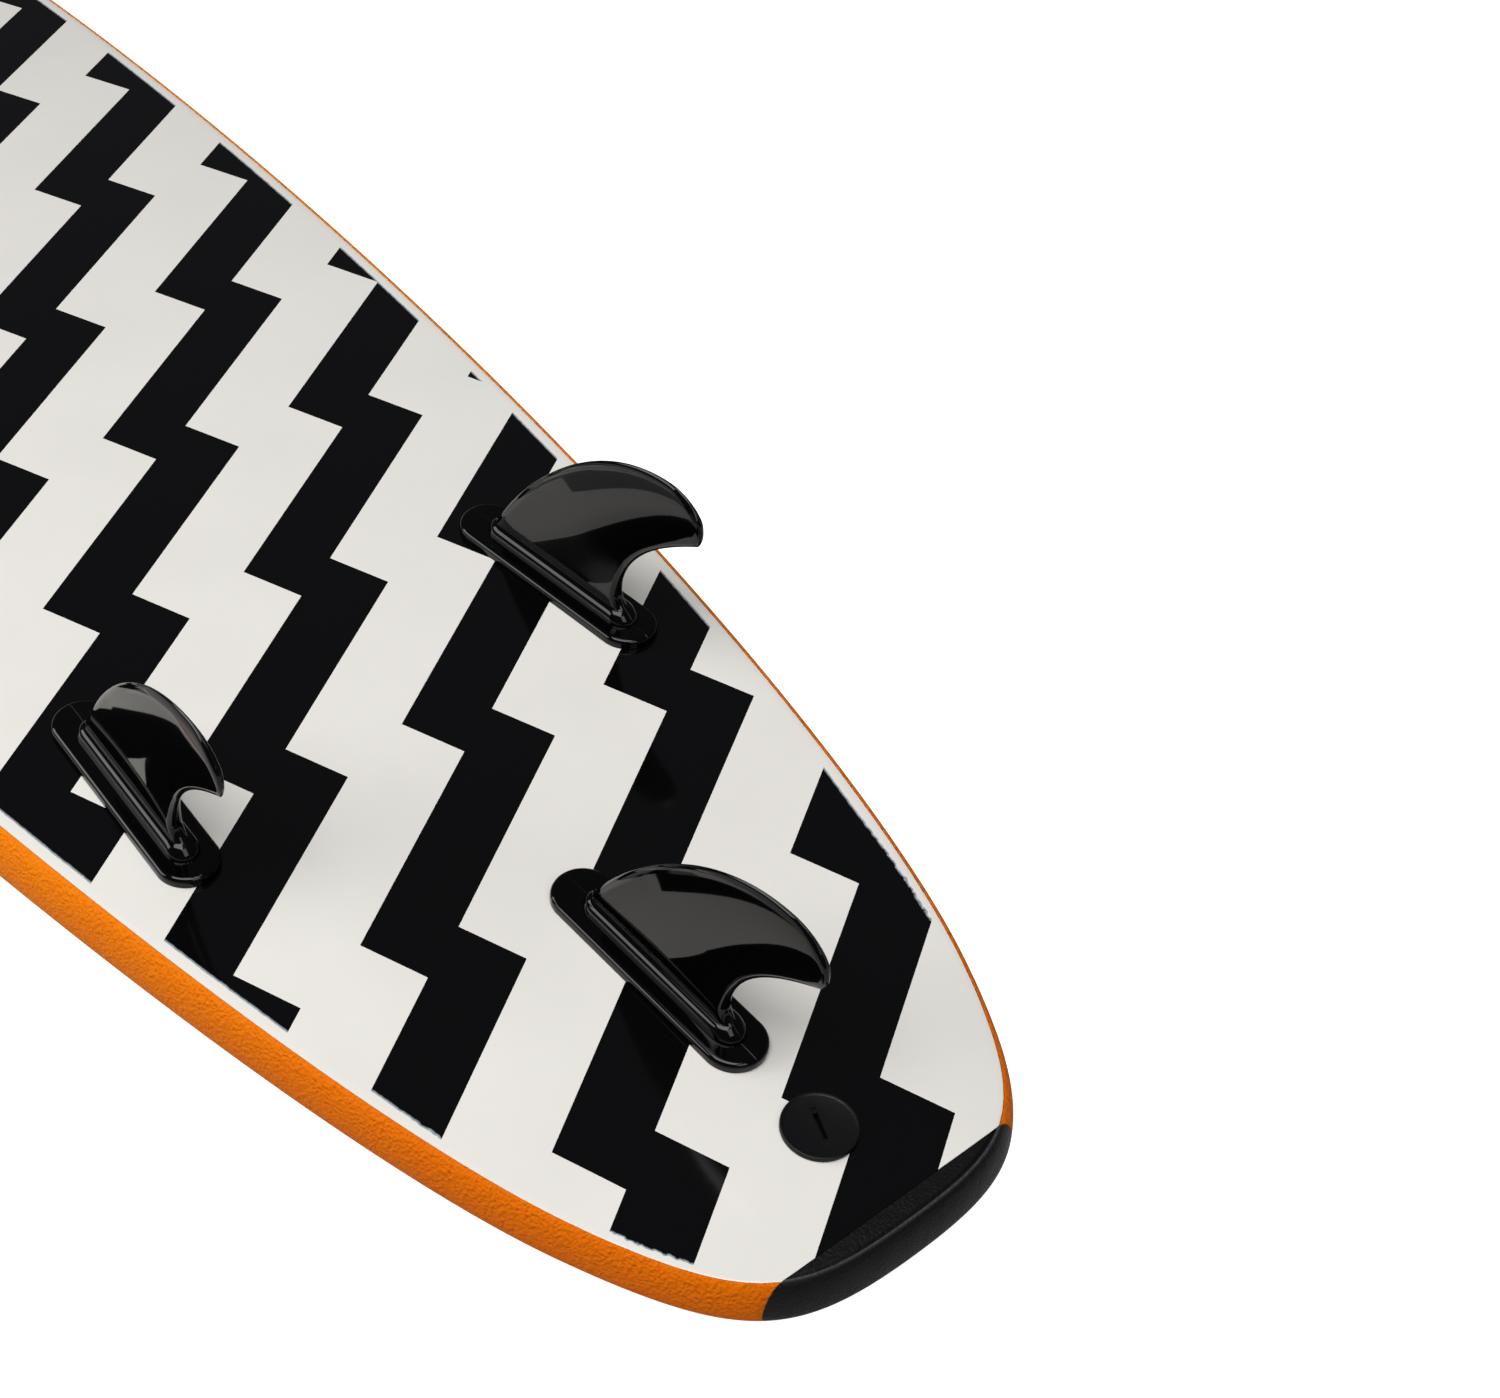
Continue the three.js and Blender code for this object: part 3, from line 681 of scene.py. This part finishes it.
nose_cut, tail_cut = NOSE_CUT - GAP, TAIL_CUT + GAP
nose_reach, tail_reach = HALF + nose_cut, HALF - tail_cut
nose_sides = [cap_grid(-1, nose_cut, nose_reach, inward) for inward in (0.0, SKIN)]
nose = mesh_piece("nose_bumper_cap", *sheet_between(*nose_sides), bumper_foam, "board")
paint_crease_highlight(nose, -1)
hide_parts("nose_bumper")
tail_outer = cap_grid(1, tail_cut, tail_reach, 0.0)
tail_back = tail_outer.copy()
tail_back[:, :, 0] = tail_cut
tail = mesh_piece("tail_bumper_block", *sheet_between(tail_outer, tail_back), bumper_foam, "board")
paint_crease_highlight(tail, 1)
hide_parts("tail_bumper")


# ---- Fins ---------------------------------------------------------------------------------------
# Glossy black injection-moulded fins: a raked blade on a plinth, over a flange that sits on the
# bottom. Each hangs from two posts that pass through the board.
POST_RADIUS, POST_LENGTH = 7.0, 26.0
INSERT_LENGTH = 14.0              # threaded brass insert in a post's foot
FLANGE_HALF, FLANGE_REACH = 18.5, 80.0
BLADE_FOOT, BLADE_TOP = 22, 129   # heights over the sheet
LEADING_EDGE = [(-49, BLADE_FOOT), (-21, 71), (32, BLADE_TOP), (88, BLADE_TOP)]
BLADE_TIP = [(88, BLADE_TOP), (106, BLADE_TOP), (122, 112), (113, 98)]
TRAILING_EDGE = [(113, 98), (85, 81), (54, 58), (54, BLADE_FOOT)]
TIP_MEETS = 0.62                  # share of the tip's curve at which the two edges meet
MOULD_LINE = 0.00035              # half the width of the line where the mould's halves meet, in metres

# Polished ABS mirrors the print and the softboxes sharply. A mould line runs along its middle.
gloss_plastic, tree, shader = new_material("glossy_black_moulded_plastic")
object_place = add_node(tree, "ShaderNodeTexCoord").outputs["Object"]
specks = add_node(tree, "ShaderNodeTexNoise", {
    "Vector": object_place, "Scale": 900.0, "Detail": 1.0}).outputs["Fac"]
dust = add_node(tree, "ShaderNodeMapRange", {
    "Value": specks, "From Min": 0.80, "From Max": 0.84}).outputs["Result"]
colour = add_node(tree, "ShaderNodeMix", {"Factor": dust, 6: linear("#030303"), 7: linear("#4a4a4a")},
                  data_type="RGBA").outputs[2]
tree.links.new(colour, shader.inputs["Base Color"])
shader.inputs["Roughness"].default_value = 0.045
shader.inputs["IOR"].default_value = 1.46
shader.inputs["Specular IOR Level"].default_value = 0.33
map_uv = add_node(tree, "ShaderNodeUVMap", uv_map="mould").outputs["UV"]
off_middle = add_node(tree, "ShaderNodeSeparateXYZ", {"Vector": map_uv}).outputs["Y"]
away = add_node(tree, "ShaderNodeMath", {0: off_middle}, operation="ABSOLUTE").outputs[0]
line = add_node(tree, "ShaderNodeMapRange", {
    "Value": away, "From Max": MOULD_LINE, "To Min": 1.0, "To Max": 0.0},
    interpolation_type="SMOOTHSTEP").outputs["Result"]
swell = add_node(tree, "ShaderNodeTexNoise", {
    "Vector": object_place, "Scale": 35.0, "Detail": 1.0}).outputs["Fac"]
height = add_node(tree, "ShaderNodeMath", {0: swell, 1: 0.25, 2: line}, operation="MULTIPLY_ADD").outputs[0]
bump = add_node(tree, "ShaderNodeBump", {"Height": height, "Strength": 0.5, "Distance": 0.0003})
tree.links.new(bump.outputs["Normal"], shader.inputs["Normal"])


def bezier(control, t):
    """Points of a cubic Bezier curve: the four controls weighted by Bernstein's polynomials."""
    t = np.asarray(t)[:, None]
    weights = [(1 - t) ** 3, 3 * t * (1 - t) ** 2, 3 * t**2 * (1 - t), t**3]
    return sum(w * np.array(p, dtype=float) for w, p in zip(weights, control))


def fin_section(front_end, back_end, half, front, back, crown=0.0, count=18, straight=26):
    """Closed sections between chord ends (x, z): half ellipses `front` and `back` long at the ends,
    joined by sides `half` off the middle, which `crown` thins towards both ends as a parabola. The
    ends and sizes have one value for each section."""
    chord = np.linalg.norm(back_end - front_end, axis=1)
    front, back = np.minimum(front, 0.45 * chord), np.minimum(back, 0.45 * chord)
    turn = np.linspace(0, np.pi / 2, count)
    head = front[:, None] * (1 - np.cos(turn))
    middle = front[:, None] + (chord - front - back)[:, None] * np.linspace(0, 1, straight + 2)[1:-1]
    foot = chord[:, None] - back[:, None] * (1 - np.cos(turn[::-1]))
    along = np.concatenate([head, middle, foot], axis=1) / np.maximum(chord, 1e-6)[:, None]
    off = np.concatenate([np.sin(turn), np.ones(straight), np.sin(turn[::-1])])[None, :] * half[:, None]
    off = off * (1 - crown * (2 * along - 1) ** 2)
    ends = front_end[:, None, :] + (back_end - front_end)[:, None, :] * along[:, :, None]
    one_side = np.stack([ends[..., 0], off, ends[..., 1]], axis=-1)
    other = one_side[:, -2:0:-1] * (1, -1, 1)
    return np.concatenate([one_side, other], axis=1)


def fin_base():
    """Levels from the flange's underside up to the blade's foot, as columns of z, reach to the front
    and back, half width, and length of the rounded ends. The flange's edge is a quarter circle and
    the plinth's shoulder a quarter ellipse."""
    quarter = np.linspace(0, np.pi / 2, 10)
    wall = np.array([[18.5, 0.3], [18.5, 1.6], [18.5, 3.0]])
    edge = np.stack([15.5 + 3.0 * np.cos(quarter), 3.0 + 3.0 * np.sin(quarter)], axis=1)[1:]
    face = np.array([[14.5, 6.02], [12.5, 6.1], [10.6, 6.2]])
    shoulder = np.stack([4.9 + 5.0 * np.cos(quarter), 6.3 + 7.7 * np.sin(quarter)], axis=1)
    top = np.array([[4.87, 16.0], [4.84, 19.0]])
    half, z = np.concatenate([wall, edge, face, shoulder, top]).T
    # On the plinth both ends draw in with height, to the blade's foot.
    plinth = np.array([
        # height, front, back, length of the front's and of the back's rounding
        (6.2, -58, 67, 12, 11),
        (9.0, -57.6, 66, 12, 10.5),
        (12.0, -56.2, 63, 11, 9),
        (14.0, -54, 60, 9, 7.5),
        (17.0, -51.5, 56.5, 8, 6),
        (BLADE_FOOT, -49, 54, 7, 4.5),
    ])
    at_front, at_back, front, back = [np.interp(z, plinth[:, 0], plinth[:, k]) for k in (1, 2, 3, 4)]
    on_flange = half > 10
    at_front = np.where(on_flange, -FLANGE_REACH + FLANGE_HALF - half, at_front)
    at_back = np.where(on_flange, FLANGE_REACH - FLANGE_HALF + half, at_back)
    front, back = np.where(on_flange, half, front), np.where(on_flange, half, back)
    return fin_section(np.stack([at_front, z], axis=1), np.stack([at_back, z], axis=1), half, front, back)


def fin_blade(rows=90):
    """Sections of the blade: chords that run from the leading edge to the trailing edge, and fan
    round to meet at the tip. The half thickness falls evenly from foot to tip, and closes there as a
    quarter ellipse."""
    span = 1 - (1 - np.linspace(0, 1, rows)) ** 1.25
    lead_tip = bezier(BLADE_TIP, np.linspace(0, TIP_MEETS, 30))[1:]
    trail_tip = bezier(BLADE_TIP, np.linspace(1, TIP_MEETS, 20))[1:]
    lead = np.concatenate([bezier(LEADING_EDGE, np.linspace(0, 1, 90)), lead_tip])
    trail = np.concatenate([bezier(TRAILING_EDGE, np.linspace(1, 0, 90)), trail_tip])

    def along(line):
        length = np.concatenate([[0], np.cumsum(np.hypot(*np.diff(line, axis=0).T))])
        return np.stack([np.interp(span * length[-1], length, line[:, k]) for k in (0, 1)], axis=1)

    closing = np.clip((span - 0.90) / 0.10, 0, 1)
    half = (4.8 - 2.2 * span) * np.sqrt(np.maximum(1 - closing**2, 1e-4))
    crown = 0.45 * np.minimum(span * 4, 1)[:, None]
    return fin_section(along(lead), along(trail), half, 7.0 - 2 * span, 4.5 - 1.5 * span, crown)


def lathe(name, profile, matrix, material, body, segments=64, sharp=35.0):
    """A turned piece: a profile about Z, put in its place by a matrix."""
    points, faces = turned(profile, segments)
    piece = mesh_piece(name, place(points, matrix), faces, material, body, sharp)
    return piece


fin_rows = np.concatenate([fin_base(), fin_blade()])
rows, columns = fin_rows.shape[:2]
fin_faces = grid_faces(rows, columns, wrap_columns=True)
fin_faces += [list(range(columns)), list(range((rows - 1) * columns, rows * columns))]
for side, at in FINS.items():
    seat = slick_frame(*at)
    fin = mesh_piece(f"moulded_fin_{side}", place(fin_rows.reshape(-1, 3), seat), fin_faces, gloss_plastic,
                     f"{side}_fin", sharp=50)
    add_uv(fin.data, "mould", place(vertex_points(fin.data), seat.inverted())[:, :2])
    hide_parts(f"fin_{side}")
    for end in ENDS:
        foot, socket = -POST_LENGTH, -POST_LENGTH + INSERT_LENGTH + 0.3
        post = lathe(
            f"fin_post_{side}_{end}",
            [(0, socket), (4.8, socket), (4.8, foot), (POST_RADIUS - 0.6, foot), (POST_RADIUS, foot + 0.6),
             (POST_RADIUS, 0.2), (0, 0.2)],
            post_frames[f"{side}_{end}"], gloss_plastic, f"{side}_fin")
        post.data.uv_layers.new(name="mould")


# ---- Fin fastenings -----------------------------------------------------------------------------
# From the deck, each post is held by a slotted stainless screw with a washer, in a matt black sleeve
# whose flange is let into the foam. The screw bites in a brass insert in the post.
PLUG_RECESS = 0.7                 # face of a sleeve, in from the deck
PLUG_FLANGE = 6.3
PLUG_WEB = 6.0                    # web that the screw pulls on, in from the sleeve's face
SLEEVE_TOP = -5.4                 # where the sleeves and the leash cup end, under the bottom sheet
WASHER = 1.5
PLAY = 0.3                        # left between the web, the washer and the screw's head

# Nylon straight from an etched mould: black, with a fine even grain and soft highlights.
matt_plastic, tree, shader = new_material("matt_black_moulded_plastic")
object_place = add_node(tree, "ShaderNodeTexCoord").outputs["Object"]
grain = add_node(tree, "ShaderNodeTexNoise", {
    "Vector": object_place, "Scale": 1400.0, "Detail": 3.0}).outputs["Fac"]
bump = add_node(tree, "ShaderNodeBump", {"Height": grain, "Strength": 0.35, "Distance": 0.0002})
tree.links.new(bump.outputs["Normal"], shader.inputs["Normal"])
colour = add_node(tree, "ShaderNodeMix", {"Factor": grain, 6: linear("#0b0b0c"), 7: linear("#131315")},
                  data_type="RGBA").outputs[2]
tree.links.new(colour, shader.inputs["Base Color"])
shader.inputs["Roughness"].default_value = 0.34
shader.inputs["Specular IOR Level"].default_value = 0.18


def machined(name, colour_a, colour_b, roughness):
    """A turned metal: fine rings of tool marks, a fifth of a millimetre apart, in two close tones."""
    material, tree, shader = new_material(name)
    object_place = add_node(tree, "ShaderNodeTexCoord").outputs["Object"]
    marks = add_node(tree, "ShaderNodeTexWave", {"Vector": object_place, "Scale": 800.0, "Distortion": 0.3},
                     bands_direction="Z").outputs["Fac"]
    stains = add_node(tree, "ShaderNodeTexNoise", {"Vector": object_place, "Scale": 300.0}).outputs["Fac"]
    colour = add_node(tree, "ShaderNodeMix", {"Factor": stains, 6: linear(colour_a), 7: linear(colour_b)},
                      data_type="RGBA").outputs[2]
    bump = add_node(tree, "ShaderNodeBump", {"Height": marks, "Strength": 0.2, "Distance": 0.00005})
    tree.links.new(colour, shader.inputs["Base Color"])
    tree.links.new(bump.outputs["Normal"], shader.inputs["Normal"])
    shader.inputs["Metallic"].default_value = 1.0
    shader.inputs["Roughness"].default_value = roughness
    return material


# Stainless steel, cool grey and bright. Brass, yellow and a little duller.
steel = machined("turned_stainless_steel", "#c3c5c8", "#a9acb0", 0.28)
brass = machined("turned_brass", "#c9a552", "#b08b3a", 0.32)


def slot_block(reach_out, half, low, high):
    """A block to cut a slot with, along X."""
    points = [(a, b, c) for a in (-reach_out, reach_out) for b in (-half, half) for c in (low, high)]
    faces = [(0, 1, 3, 2), (4, 6, 7, 5), (0, 4, 5, 1), (2, 3, 7, 6), (0, 2, 6, 4), (1, 5, 7, 3)]
    return np.array(points, dtype=float), faces


for key, matrix in post_frames.items():
    x, y = matrix.translation.xy
    deck_depth = float(slick_z(x) - deck_z(np.array([x]), np.array([y]), 0.0)[0])
    face = PLUG_RECESS - deck_depth
    flange = face + PLUG_FLANGE
    web = face + PLUG_WEB
    sleeve = lathe(
        f"deck_sleeve_{key}",
        [(8, face + 0.4), (8.4, face), (14.4, face), (15, face + 0.6), (15, flange), (9.5, flange),
         (9.5, SLEEVE_TOP), (7.4, SLEEVE_TOP), (7.4, web + 4), (3.4, web + 4), (3.4, web), (8, web)],
        matrix, matt_plastic, "board")
    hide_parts(f"deck_plug_{key}")
    top, under = web - PLAY, web - PLAY - WASHER
    disc = lathe(
        f"washer_{key}",
        [(3.2, under + 0.2), (3.4, under), (6.8, under), (7, under + 0.2), (7, top), (3.2, top)],
        matrix, steel, f"{key}_washer")
    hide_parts(f"fin_washer_{key}")
    head = under - PLAY
    tip = -POST_LENGTH + INSERT_LENGTH - 1.2
    screw = lathe(
        f"slotted_screw_{key}",
        [(0, head - 3.4), (4.8, head - 3.4), (5.7, head - 3.2), (6.35, head - 2.7), (6.6, head - 2.1),
         (6.6, head), (3, head), (3, tip - 0.6), (2.4, tip), (0, tip)],
        matrix, steel, f"{key}_screw")
    cut_out(screw, [(*slot_block(8, 0.8, head - 4, head - 2), matrix)])
    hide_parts(f"fin_screw_{key}")
    foot, end = -POST_LENGTH, -POST_LENGTH + INSERT_LENGTH
    insert = lathe(
        f"brass_insert_{key}",
        [(3.3, foot), (4.4, foot), (4.4, foot + 5.6), (4.1, foot + 6), (4.1, foot + 8), (4.4, foot + 8.4),
         (4.4, end), (3.3, end)],
        matrix, brass, f"{key.split('_')[0]}_fin")
    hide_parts(f"post_insert_{key}")


# ---- Leash plug ---------------------------------------------------------------------------------
# A cup set through the board holds a steel bar for the leash string on the deck side. On the bottom
# a slotted cap screws into it, over a rubber gasket.
CUP_RECESS = 2.2                  # face of the cup, in from the deck
CUP_FLANGE = 5.0
SLOT_ANGLE = -23.0                # at which the cap's slot came to rest
face = CUP_RECESS - float(thickness(LEASH_X))
flange = face + CUP_FLANGE
cup = lathe(
    "leash_cup_moulding",
    [(13, face + 0.5), (13.5, face), (19.4, face), (20, face + 0.6), (20, flange), (16.5, flange),
     (16.5, SLEEVE_TOP), (9.4, SLEEVE_TOP), (9.4, -15.5), (0.001, -15.5), (0.001, -19), (12, -19),
     (13, -20)],
    leash_frame, matt_plastic, "board", segments=96)
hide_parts("leash_cup")
crosswise = leash_frame @ Matrix.Translation((0, 0, face + 11)) @ Matrix.Rotation(math.pi / 2, 4, "X")
bar = lathe("leash_bar_pin", [(0, -16), (2.1, -16), (2.5, -15.6), (2.5, 15.6), (2.1, 16), (0, 16)],
            crosswise, steel, "board")
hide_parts("leash_bar")

# Black nitrile rubber, with a dusting of bloom that greys it in patches.
soft_rubber, tree, shader = new_material("moulded_gasket_rubber")
object_place = add_node(tree, "ShaderNodeTexCoord").outputs["Object"]
bloom = add_node(tree, "ShaderNodeTexNoise", {
    "Vector": object_place, "Scale": 260.0, "Detail": 4.0}).outputs["Fac"]
colour = add_node(tree, "ShaderNodeMix", {"Factor": bloom, 6: linear("#18181a"), 7: linear("#2c2c2e")},
                  data_type="RGBA").outputs[2]
tree.links.new(colour, shader.inputs["Base Color"])
shader.inputs["Roughness"].default_value = 0.85
gasket = lathe("cap_gasket", [(9.4, 0.3), (16.4, 0.3), (16.6, 0.5), (16.6, 1.1), (16.4, 1.3), (9.4, 1.3)],
               leash_frame, soft_rubber, "leash_gasket_ring")
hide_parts("leash_gasket")

cap = lathe(
    "slotted_cap",
    [(0, -15), (8.4, -15), (9, -14.4), (9, 1.6), (17, 1.6), (17, 0.3), (20.2, 0.3), (20.5, 0.7), (20.5, 2.6),
     (20.3, 3.1), (19.9, 3.3), (19.2, 3.25), (18.7, 2.9), (18.2, 2.75), (0, 2.8)],
    leash_frame, matt_plastic, "leash_plug_cap", segments=128, sharp=30)
slot_frame = leash_frame @ Matrix.Rotation(math.radians(SLOT_ANGLE), 4, "Z")
for reach_out, slot_floor in ((11, 2), (8, -3)):   # shallow over the disc, deep in the boss
    cut_out(cap, [(*slot_block(reach_out, 1.5, slot_floor, 4), slot_frame)])
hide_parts("leash_cap")


# ---- Core, stringers and liner ------------------------------------------------------------------
# The core is expanded polystyrene in three lengths, with two spruce stringers glued between them. A
# sheet of soft foam lies between the core and the bottom sheet.
def dress(nodes, material):
    """Gives a material to CAD nodes that stay as they are."""
    for node in nodes:
        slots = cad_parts[node].data.materials
        slots.clear()
        slots.append(material)


# Beads 4 mm across, pressed together: each a slightly different white, with a dent where they meet.
beads, tree, shader = new_material("expanded_polystyrene_beads")
object_place = add_node(tree, "ShaderNodeTexCoord").outputs["Object"]
bead = add_node(tree, "ShaderNodeTexVoronoi", {"Vector": object_place, "Scale": 250.0})
colour = add_node(tree, "ShaderNodeMix", {
    "Factor": bead.outputs["Color"], 6: linear("#f6f6f3"), 7: linear("#e9e9e5")},
    data_type="RGBA").outputs[2]
bump = add_node(tree, "ShaderNodeBump", {
    "Height": bead.outputs["Distance"], "Strength": 0.6, "Distance": -0.001})
tree.links.new(colour, shader.inputs["Base Color"])
tree.links.new(bump.outputs["Normal"], shader.inputs["Normal"])
shader.inputs["Roughness"].default_value = 0.8
dress(["core_left", "core_centre", "core_right"], beads)

# Grain lines run along the board, wavering, and darker where the late wood is.
spruce, tree, shader = new_material("sawn_spruce")
object_place = add_node(tree, "ShaderNodeTexCoord").outputs["Object"]
stretched = add_node(tree, "ShaderNodeMapping", {"Vector": object_place, "Scale": (0.06, 1.0, 1.0)})
rings = add_node(tree, "ShaderNodeTexWave", {
    "Vector": stretched.outputs["Vector"], "Scale": 55.0, "Distortion": 6.0, "Detail": 3.0},
    bands_direction="Z").outputs["Fac"]
colour = add_node(tree, "ShaderNodeMix", {"Factor": rings, 6: linear("#d3ab74"), 7: linear("#a97c47")},
                  data_type="RGBA").outputs[2]
bump = add_node(tree, "ShaderNodeBump", {"Height": rings, "Strength": 0.3, "Distance": 0.0003})
tree.links.new(colour, shader.inputs["Base Color"])
tree.links.new(bump.outputs["Normal"], shader.inputs["Normal"])
shader.inputs["Roughness"].default_value = 0.7
dress(["stringer_left", "stringer_right"], spruce)

# Soft closed-cell foam with cells under a millimetre, dull and slightly yellow.
liner_foam, tree, shader = new_material("polyethylene_foam_liner")
object_place = add_node(tree, "ShaderNodeTexCoord").outputs["Object"]
cells = add_node(tree, "ShaderNodeTexVoronoi", {"Vector": object_place, "Scale": 1100.0})
colour = add_node(tree, "ShaderNodeMix", {
    "Factor": cells.outputs["Distance"], 6: linear("#d2cfc4"), 7: linear("#e2dfd5")},
    data_type="RGBA").outputs[2]
tree.links.new(colour, shader.inputs["Base Color"])
shader.inputs["Roughness"].default_value = 0.9
dress(["bottom_liner"], liner_foam)

sizes = {"cad": cad_box, "visual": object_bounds()}
{name: [list(map(float, c)) for c in corners] for name, corners in sizes.items()}
